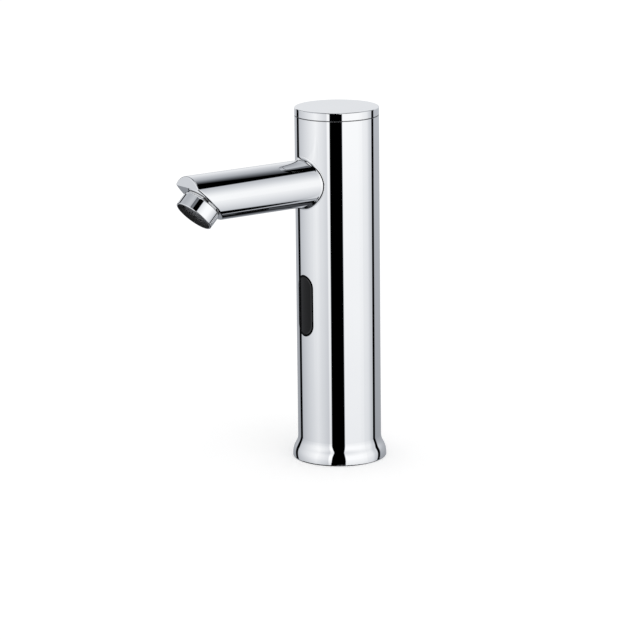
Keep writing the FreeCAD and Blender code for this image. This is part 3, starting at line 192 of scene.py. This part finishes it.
world = Finish(bpy.data.worlds.new("studio"))
scene.world = world.owner
seen = light_path_sum(world, "Is Camera Ray", "Is Glossy Ray", "Is Transmission Ray")
strength = seen * (1 - WORLD_LIGHT) + WORLD_LIGHT
background = world.node("ShaderNodeBackground", inputs={"Color": (1.0, 1.0, 1.0, 1.0), "Strength": strength})
world.node("ShaderNodeOutputWorld", inputs={"Surface": background})

lamp = bpy.data.objects.new("soft_lamp", bpy.data.lights.new("soft_lamp", "SUN"))
scene.collection.objects.link(lamp)
lamp.data.energy = LAMP_STRENGTH
lamp.data.angle = math.radians(40.0)
lamp.rotation_euler = (math.radians(28.0), math.radians(12.0), math.radians(54.0))
lamp.visible_glossy = False

bpy.ops.object.select_all(action="DESELECT")
bpy.ops.mesh.primitive_plane_add(size=FLOOR_SIZE, location=(0.0, 0.0, 0.0))
floor = bpy.context.object
floor.name = "floor"
floor.visible_glossy = False
paint = Finish(bpy.data.materials.new("white_floor"))
matt = paint.node("ShaderNodeBsdfDiffuse", inputs={"Color": (0.9, 0.9, 0.9, 1.0)})
camera_only = light_path_sum(paint, "Is Camera Ray")
lift = paint.node("ShaderNodeEmission", inputs={"Strength": camera_only * FLOOR_LIFT})
paint.node("ShaderNodeOutputMaterial",
           inputs={"Surface": paint.node("ShaderNodeAddShader", inputs={0: matt, 1: lift})})
floor.data.materials.append(paint.owner)
print("floor, lamp and world ready")

# %% [markdown]
# ## What the chrome sees
#
# Polished chrome has no colour of its own: it shows the room. A photographer builds that room from white
# panels with black gaps between them, and the tap's black and white stripes are those panels and gaps. Here
# one big dome round the tap carries them. Separate panels would do as well, but on one dome each edge is a
# single number. Only reflections see the dome, so it neither lights the tap nor hides it.
#
# A place on the dome has two angles in degrees: `around` the tap, with 0 towards the camera and plus to its
# right, and `height` above the horizon. A softbox is brightest in its middle, so each panel's brightness is
# one profile around times one profile upwards.

# %% The dome
DOME_RADIUS = 0.9
DOME_CENTRE = Vector((0.0, -30.0, 110.0)) * MM

bpy.ops.object.select_all(action="DESELECT")
bpy.ops.mesh.primitive_uv_sphere_add(segments=96, ring_count=48, radius=DOME_RADIUS, location=DOME_CENTRE)
dome = bpy.context.object
dome.name = "studio_panels"
bpy.ops.object.shade_smooth()
dome.visible_camera = False
dome.visible_diffuse = False
dome.visible_shadow = False
dome.visible_volume_scatter = False

panels = Finish(bpy.data.materials.new("studio_panels"))
unit = panels.node("ShaderNodeVectorMath", {"operation": "NORMALIZE"}, {0: panels.position()}, "Vector")
front = panels.node("ShaderNodeVectorMath", {"operation": "DOT_PRODUCT"},
                    {0: unit, 1: Vector((math.sin(AZIMUTH), -math.cos(AZIMUTH), 0.0))}, "Value")
side = panels.node("ShaderNodeVectorMath", {"operation": "DOT_PRODUCT"}, {0: unit, 1: level_right}, "Value")
rise = panels.axes(unit)[2]
DEGREES = 180.0 / math.pi
around = side.math("ARCTAN2", front) * DEGREES
height = rise.math("ARCSINE") * DEGREES
turned = around.math("ABSOLUTE")
print("dome radius", DOME_RADIUS, "m")

# %% [markdown]
# ### Panels
#
# `after`, `before` and `between` cut a panel off along its edges, and `profile` fades it between a few plain
# stops. The left and the right softbox stand beside the camera with a black gap between them, and the left
# one has a bright frame along it. A narrower black gap parts each of them from the wall behind the tap,
# which gets lighter upwards and turns into the ceiling, whose bright part lies behind. A small window of
# light is straight above, and low in front one pale card lies on a dark floor. Several edges lean a little,
# so they move with the height. Grey panels are slightly cool.

# %% Helpers for the panels
SOFT_EDGE = 1.2
FULL = 1.16


def after(value, edge, soft=SOFT_EDGE):
    """1 where the value is over the edge, 0 below it; the edge may vary too."""
    return panels.smooth(value - edge, -soft, soft)


def before(value, edge, soft=SOFT_EDGE):
    """1 below the edge, 0 over it."""
    return 1 - after(value, edge, soft)


def between(value, low, high):
    """1 from low to high, 0 outside."""
    return after(value, low) * before(value, high)


def profile(value, *stops):
    """Brightness that runs straight between its (degrees, level) stops, kept as shares of FULL."""
    low, high = stops[0][0], stops[-1][0]
    place = panels.node("ShaderNodeMapRange", {},
                        {"Value": value, "From Min": low, "From Max": high}, "Result")
    shades = [((degrees - low) / (high - low), (level / FULL,) * 3) for degrees, level in stops]
    return panels.node("ShaderNodeValToRGB", {"stops": shades}, {"Fac": place}) * FULL


print("panel edges are soft over", 2 * SOFT_EDGE, "degrees")

# %% The two softboxes
FRONT_GAP = (-18.4, 15.6)
FRONT_LEFT_LEAN = 0.1
FRONT_RIGHT_LEAN = 0.02
LEFT_BOX_END = -128.4
LEFT_BOX_LEAN = 0.2
LEFT_BOX_HEIGHTS = (-40.0, 61.0)
RIGHT_BOX_END = 108.0
RIGHT_BOX_LEAN = 0.12
RIGHT_BOX_HEIGHTS = (-50.0, 50.0)
CORNER_SHADE = 0.7
CORNER_START = -36.0
CORNER_HEIGHT = 45.0
CORNER_SOFT = 8.0

left_end = LEFT_BOX_END - height * LEFT_BOX_LEAN
left_box = (profile(around, (-135, 0.5), (-60, 0.9), (-28, 0.7), (-25, 0.95), (-15, 0.95))
            * profile(height, (-40, 0.7), (0, 1.1), (15, 1.15), (25, 1.1), (45, 0.75), (60, 0.65))
            * between(around, left_end, FRONT_GAP[0] + height * FRONT_LEFT_LEAN)
            * between(height, *LEFT_BOX_HEIGHTS)
            * (1 - after(around, CORNER_START) * after(height, CORNER_HEIGHT, CORNER_SOFT) * CORNER_SHADE))
right_box = (profile(around, (15, 1.0), (60, 1.0), (90, 0.85), (100, 0.65), (110, 0.65))
             * profile(height, (-50, 0.7), (0, 1.05), (15, 1.05), (25, 0.95), (45, 0.65))
             * between(around, FRONT_GAP[1] - height * FRONT_RIGHT_LEAN,
                       RIGHT_BOX_END + height * RIGHT_BOX_LEAN)
             * between(height, *RIGHT_BOX_HEIGHTS))
print("softboxes with a gap of", round(FRONT_GAP[1] - FRONT_GAP[0], 1), "degrees")

# %% Wall, ceiling, card and floor
REAR_START = 118.6
REAR_LEAN = 0.12
REAR_HIGH = 51.0
REAR_HIGH_SOFT = 7.0
REAR_HIGH_SHIFT = 18.0
REAR_TOP = 67.0
LEFT_GAP_WIDTH = 14.6
CEILING_START = 56.0
CEILING_SLOPE = 2.15
SKYLIGHT_START = 76.0
SKYLIGHT_SOFT = 5.0
CARD_AROUND = (2.0, 50.0)
CARD_HEIGHTS = (-64.0, -51.0)
CARD_LEVEL = 0.5
GLOW_AROUND = (-110.0, -30.0)
GLOW_TOP = -43.0
GLOW_LEVEL = 0.07

wall = profile(height, (-50, 0.0), (-35, 0.25), (-5, 0.5), (15, 0.8), (35, 1.0))
ceiling = profile(turned - (height - CEILING_START) * CEILING_SLOPE, (100, 0.0), (150, 0.45), (270, 1.0))
rear_start = height * REAR_LEAN + REAR_START - after(height, REAR_HIGH, REAR_HIGH_SOFT) * REAR_HIGH_SHIFT
rear = wall.math("MINIMUM", ceiling) * (after(around, rear_start) + before(around, left_end - LEFT_GAP_WIDTH))
skylight = after(height, SKYLIGHT_START, SKYLIGHT_SOFT)
card = between(around, *CARD_AROUND) * between(height, *CARD_HEIGHTS) * CARD_LEVEL
floor_glow = between(around, *GLOW_AROUND) * before(height, GLOW_TOP) * GLOW_LEVEL
total = left_box + right_box + rear * before(height, REAR_TOP) + skylight + card + floor_glow
print("wall from", REAR_START, "degrees, ceiling, skylight, card and floor")

# %% Paint the dome
COOL_GREY = (0.90, 0.965, 1.08, 1.0)
NEAR_WHITE = (0.99, 1.0, 1.01, 1.0)

tint = panels.node("ShaderNodeMix", {"data_type": "RGBA"}, {"Factor": total, 6: COOL_GREY, 7: NEAR_WHITE}, 2)
glow = panels.node("ShaderNodeEmission", inputs={"Color": tint, "Strength": total})
panels.node("ShaderNodeOutputMaterial", inputs={"Surface": glow})
dome.data.materials.append(panels.owner)
print("panels painted with", len(panels.tree.nodes), "nodes")

# %% [markdown]
# ## Finishes
#
# Every finish is a Principled shader whose colour and roughness vary over the piece, and all but the chrome
# have a fine bump too. The patterns read the piece's own position in metres, so a scale of 1000 is one
# feature a millimetre. Pictures of surfaces could be wrapped round the pieces instead, but a pattern that is
# calculated needs no unwrapping and stays sharp close up. The next cell makes the shader from colour,
# roughness and bump, and the cells after it make the finishes.

# %% One function that ends each finish
FINISHES = {}


def start(name):
    return Finish(bpy.data.materials.new(name))


def noise(finish, per_metre, detail=2.0, roughness=0.5, stretch=(1.0, 1.0, 1.0)):
    """Noise from 0 to 1 with about this many features a metre."""
    place = finish.node("ShaderNodeMapping", inputs={"Vector": finish.position(), "Scale": stretch})
    return finish.node("ShaderNodeTexNoise", {"noise_dimensions": "3D"},
                       {"Vector": place, "Scale": per_metre, "Detail": detail, "Roughness": roughness}, 0)


def blend(finish, share, first, second):
    """A colour between two others."""
    return finish.node("ShaderNodeMix", {"data_type": "RGBA"}, {"Factor": share, 6: first, 7: second}, 2)


def distance(first, second):
    """Length of the sloping side over two square ones."""
    squares = first * first + second * second
    return squares.math("SQRT")


def complete(finish, slot, colour, roughness, bump=None, bump_height=0.0001, **constants):
    """Joins the parts of a finish. The bump's height is in metres."""
    inputs = {"Base Color": colour, "Roughness": roughness}
    inputs.update({name.replace("_", " "): value for name, value in constants.items()})
    if bump is not None:
        inputs["Normal"] = finish.node("ShaderNodeBump", inputs={"Height": bump, "Distance": bump_height,
                                                                 "Strength": 1.0})
    shader = finish.node("ShaderNodeBsdfPrincipled", inputs=inputs)
    finish.node("ShaderNodeOutputMaterial", inputs={"Surface": shader})
    FINISHES[slot] = finish.owner
    print("finish", slot)


print("ready for the finishes")

# %% [markdown]
# ### Polished chrome
#
# The column, cap, spout and aerator housing are brass, ground, polished and plated with nickel and chrome.
# The plate is a mirror. What tells it from a computer's perfect mirror is very faint: the polish wanders by
# less than a hundredth of roughness, and wiping leaves hair-thin marks. Two places are painted dark: the
# shadow gap under the cap, where little plating reaches, is a little rougher and has painted shade in its
# colour, and the inside of the aerator's mouth is painted black and matt as the shade in that recess. Both
# could be pieces of their own, but each is part of a piece that the model has already, so the finish finds
# them by their place: the gap by its height and distance from the column's axis, the mouth by its distance
# from the slanted axis.

# %% Chrome
SEAM_LOW = 207.61 * MM
SEAM_HIGH = 208.2 * MM
SEAM_RADIUS = 24.97 * MM
SEAM_SOFT = 0.02 * MM
SEAM_RADIUS_SOFT = 0.03 * MM
MOUTH_CENTRE = Vector((0.0, -96.4, 166.3)) * MM
MOUTH_AXIS = Vector((0.0, -1.0, -1.0)).normalized()
MOUTH_RADIUS = 11.3 * MM
MOUTH_SOFT = 0.1 * MM

chrome = start("polished_chrome")
place = chrome.position()
haze = noise(chrome, 28.0, 3.0)
wipe = noise(chrome, 500.0, 2.0, 0.6, (1.0, 1.0, 0.06))
x, y, z = chrome.axes(place)
from_column = distance(x, y)
# The gap under the cap: painted shade darkens the chrome's colour there, and the plating is a little rougher.
seam_dull_and_shade = (chrome.smooth(z, SEAM_LOW - SEAM_SOFT, SEAM_LOW)
        * (1 - chrome.smooth(z, SEAM_HIGH, SEAM_HIGH + SEAM_SOFT))
        * (1 - chrome.smooth(from_column, SEAM_RADIUS, SEAM_RADIUS + SEAM_RADIUS_SOFT)))
offset = chrome.node("ShaderNodeVectorMath", {"operation": "SUBTRACT"}, {0: place, 1: MOUTH_CENTRE})
sideways = chrome.node("ShaderNodeVectorMath", {"operation": "CROSS_PRODUCT"}, {0: offset, 1: MOUTH_AXIS})
from_mouth = chrome.node("ShaderNodeVectorMath", {"operation": "LENGTH"}, {0: sideways}, "Value")
along = chrome.node("ShaderNodeVectorMath", {"operation": "DOT_PRODUCT"}, {0: offset, 1: MOUTH_AXIS}, "Value")
inside = 1 - chrome.smooth(from_mouth, MOUTH_RADIUS - MOUTH_SOFT, MOUTH_RADIUS)
# Inside the aerator's mouth the chrome becomes black and matt: painted shade in the recess.
mouth_shade = inside * chrome.smooth(along, 0.0, MM)
polish = blend(chrome, haze, (0.90, 0.905, 0.915, 1.0), (0.95, 0.95, 0.955, 1.0))
# The darker grey in the gap under the cap is painted shade.
plate_and_seam_shade = blend(chrome, seam_dull_and_shade, polish, (0.26, 0.262, 0.27, 1.0))
complete(chrome, "polished_chrome", blend(chrome, mouth_shade, plate_and_seam_shade, (0.02, 0.02, 0.021, 1.0)),
         (haze * 0.008 + wipe * 0.001 + 0.004 + seam_dull_and_shade * 0.25) * (1 - mouth_shade) + mouth_shade * 0.6, Metallic=1 - mouth_shade)

# %% [markdown]
# ### Brass, copper and steel
#
# These are the works inside and the fixing in the foot. Turned brass shows fine rings from the lathe, drawn
# copper is smooth with darker clouds where it has tarnished, and the screws and stampings are satin
# stainless steel. The rings are a sine over the distance from the axis plus the height. A wave texture could
# draw them too, but this way one number says how close they lie. Noise gives the clouds, and noise that is
# stretched along the height gives the steel its grain.

# %% Brass
LATHE_RINGS = 9000.0

brass = start("raw_brass")
x, y, z = brass.axes(brass.position())
rings = ((distance(x, y) + z) * LATHE_RINGS).math("SINE")
cloud = noise(brass, 120.0, 3.0)
complete(brass, "raw_brass", blend(brass, cloud, (0.60, 0.41, 0.15, 1.0), (0.74, 0.54, 0.24, 1.0)),
         cloud * 0.12 + 0.22, rings * 0.5 + cloud, 0.00002, Metallic=1.0)

# %% Copper
copper = start("copper_tube")
cloud = noise(copper, 90.0, 4.0)
complete(copper, "copper_tube", blend(copper, cloud, (0.46, 0.20, 0.11, 1.0), (0.86, 0.46, 0.30, 1.0)),
         cloud * 0.25 + 0.18, cloud, 0.00002, Metallic=1.0)

# %% Stainless steel
steel = start("stainless")
grain = noise(steel, 1500.0, 2.0, 0.6, (1.0, 1.0, 0.15))
cloud = noise(steel, 160.0, 2.0)
complete(steel, "stainless", blend(steel, cloud, (0.52, 0.52, 0.53, 1.0), (0.66, 0.66, 0.67, 1.0)),
         grain * 0.12 + 0.24, grain, 0.000015, Metallic=1.0)

# %% [markdown]
# ### Rubber and plastics
#
# Seals are black rubber, dull and slightly chalky. The window is a dark plastic that passes infrared light:
# it looks nearly black, with a weak shine. Its black rim is painted shade, the dark reflection of a bevelled
# edge, and the faint lighter step inside the rim on one side is a painted highlight on that edge.
# Rim and step follow the window's outline, a slot with round ends, by the distance from its middle line.
# The valve's working parts are white acetal, and the housings are black plastic with the fine spark texture
# of their mould. These grains are far too small to model, so noise in the bump draws them.

# %% Rubber
rubber = start("black_rubber")
chalk = noise(rubber, 700.0, 4.0)
complete(rubber, "black_rubber", blend(rubber, chalk, (0.018, 0.018, 0.018, 1.0), (0.05, 0.05, 0.05, 1.0)),
         chalk * 0.2 + 0.62, chalk, 0.00004)

# %% Window
WINDOW_CENTRE = 95.6 * MM
WINDOW_WIDTH = 14.8 * MM
WINDOW_HEIGHT = 37.4 * MM
RIM_START = WINDOW_WIDTH / 2 - 1.5 * MM
STEP_START = WINDOW_WIDTH / 2 - 2.2 * MM
STEP_SIDE = 4.0 * MM
RIM_SOFT = 0.3 * MM

window = start("dark_window")
cloud = noise(window, 60.0, 2.0)
speck = noise(window, 2500.0, 1.0)
across, _, up = window.axes(window.position())
past_end = (up - WINDOW_CENTRE).math("ABSOLUTE") - (WINDOW_HEIGHT - WINDOW_WIDTH) / 2
from_middle = distance(across, past_end.math("MAXIMUM", 0.0))
# Painted shade: the rim is black and reflects nothing. Painted highlight: the step inside it is lighter on
# one side.
rim_shade = window.smooth(from_middle, RIM_START, RIM_START + RIM_SOFT)
step_highlight = (window.smooth(from_middle, STEP_START, STEP_START + RIM_SOFT) * (1 - rim_shade)
        * window.smooth(across, 0.0, STEP_SIDE))
glass = blend(window, cloud, (0.003, 0.003, 0.0035, 1.0), (0.006, 0.006, 0.0065, 1.0))
glass = blend(window, step_highlight, glass, (0.035, 0.035, 0.037, 1.0))
complete(window, "dark_window", blend(window, rim_shade, glass, (0.0, 0.0, 0.0, 1.0)),
         cloud * 0.05 + 0.05 + rim_shade * 0.4, speck, 0.000002, Metallic=rim_shade, IOR=1.27)

# %% White acetal
acetal = start("white_plastic")
cloud = noise(acetal, 90.0, 3.0)
speck = noise(acetal, 2200.0, 2.0)
complete(acetal, "white_plastic", blend(acetal, cloud, (0.74, 0.74, 0.71, 1.0), (0.84, 0.84, 0.82, 1.0)),
         cloud * 0.12 + 0.36, speck, 0.00001)

# %% Black plastic
housing = start("black_plastic")
spark = noise(housing, 2600.0, 3.0, 0.7)
cloud = noise(housing, 80.0, 2.0)
complete(housing, "black_plastic",
         blend(housing, cloud, (0.028, 0.028, 0.030, 1.0), (0.05, 0.05, 0.053, 1.0)),
         spark * 0.2 + 0.42, spark, 0.00003)

# %% [markdown]
# ### The electronics
#
# The sensor board is green with thin copper tracks under the lacquer. A real board's tracks could be drawn
# one by one, but it is hidden in its housing, so the thin joints of a brick texture stand for them. Emitter,
# receiver and status light are small resin lenses: clear with a blue cast, nearly black, and red. The
# battery wears a dark film, its contacts are nickel, and the leads have a soft dark sleeve.

# %% Circuit board
board = start("circuit_board")
tracks = board.node("ShaderNodeTexBrick", {"offset": 0.37, "squash": 1.0},
                    {"Vector": board.node("ShaderNodeMapping", inputs={"Vector": board.position(), "Rotation":
                                                                       (math.radians(90.0), 0.0, 0.0)}),
                     "Scale": 330.0, "Mortar Size": 0.028, "Brick Width": 0.9, "Row Height": 0.3}, 1)
cloud = noise(board, 150.0)
complete(board, "circuit_board", blend(board, tracks, (0.008, 0.085, 0.030, 1.0), (0.05, 0.24, 0.09, 1.0)),
         cloud * 0.1 + 0.22, tracks, 0.00003)

# %% Resin lenses
for slot, dark, light in (("emitter_resin", (0.42, 0.50, 0.62, 1.0), (0.60, 0.68, 0.78, 1.0)),
                          ("receiver_resin", (0.012, 0.008, 0.016, 1.0), (0.03, 0.02, 0.036, 1.0)),
                          ("lamp_resin", (0.42, 0.02, 0.015, 1.0), (0.68, 0.05, 0.04, 1.0))):
    resin = start(slot)
    swirl = noise(resin, 400.0, 2.0)
    complete(resin, slot, blend(resin, swirl, dark, light), swirl * 0.05 + 0.06, swirl, 0.000004, IOR=1.55)

# %% Battery sleeve
OVERLAP_PLACE = 4.0 * MM
OVERLAP_EDGE = (0.2 * MM, 0.5 * MM)

sleeve = start("battery_sleeve")
x, _, _ = sleeve.axes(sleeve.position())
overlap = sleeve.smooth((x - OVERLAP_PLACE).math("ABSOLUTE"), *OVERLAP_EDGE)
crinkle = noise(sleeve, 500.0, 3.0, 0.5, (1.0, 1.0, 0.3))
complete(sleeve, "battery_sleeve",
         blend(sleeve, overlap, (0.03, 0.033, 0.04, 1.0), (0.075, 0.082, 0.10, 1.0)),
         crinkle * 0.15 + 0.3, crinkle + overlap, 0.00003)

# %% Contacts and leads
contact = start("plated_contact")
rub = noise(contact, 1300.0, 2.0, 0.5, (0.1, 1.0, 1.0))
complete(contact, "plated_contact", blend(contact, rub, (0.60, 0.57, 0.50, 1.0), (0.78, 0.76, 0.70, 1.0)),
         rub * 0.2 + 0.15, rub, 0.00001, Metallic=1.0)

lead = start("lead_sleeve")
grain = noise(lead, 1800.0, 3.0)
complete(lead, "lead_sleeve", blend(lead, grain, (0.05, 0.05, 0.052, 1.0), (0.10, 0.10, 0.104, 1.0)),
         grain * 0.15 + 0.5, grain, 0.00002)

# %% Put each finish on its pieces
for name, piece in sorted(nodes.items()):
    slot = piece.material_slots[0].material.name.split(".")[0]
    piece.material_slots[0].material = FINISHES[slot]
print("finished", len(nodes), "pieces with", len(FINISHES), "finishes")
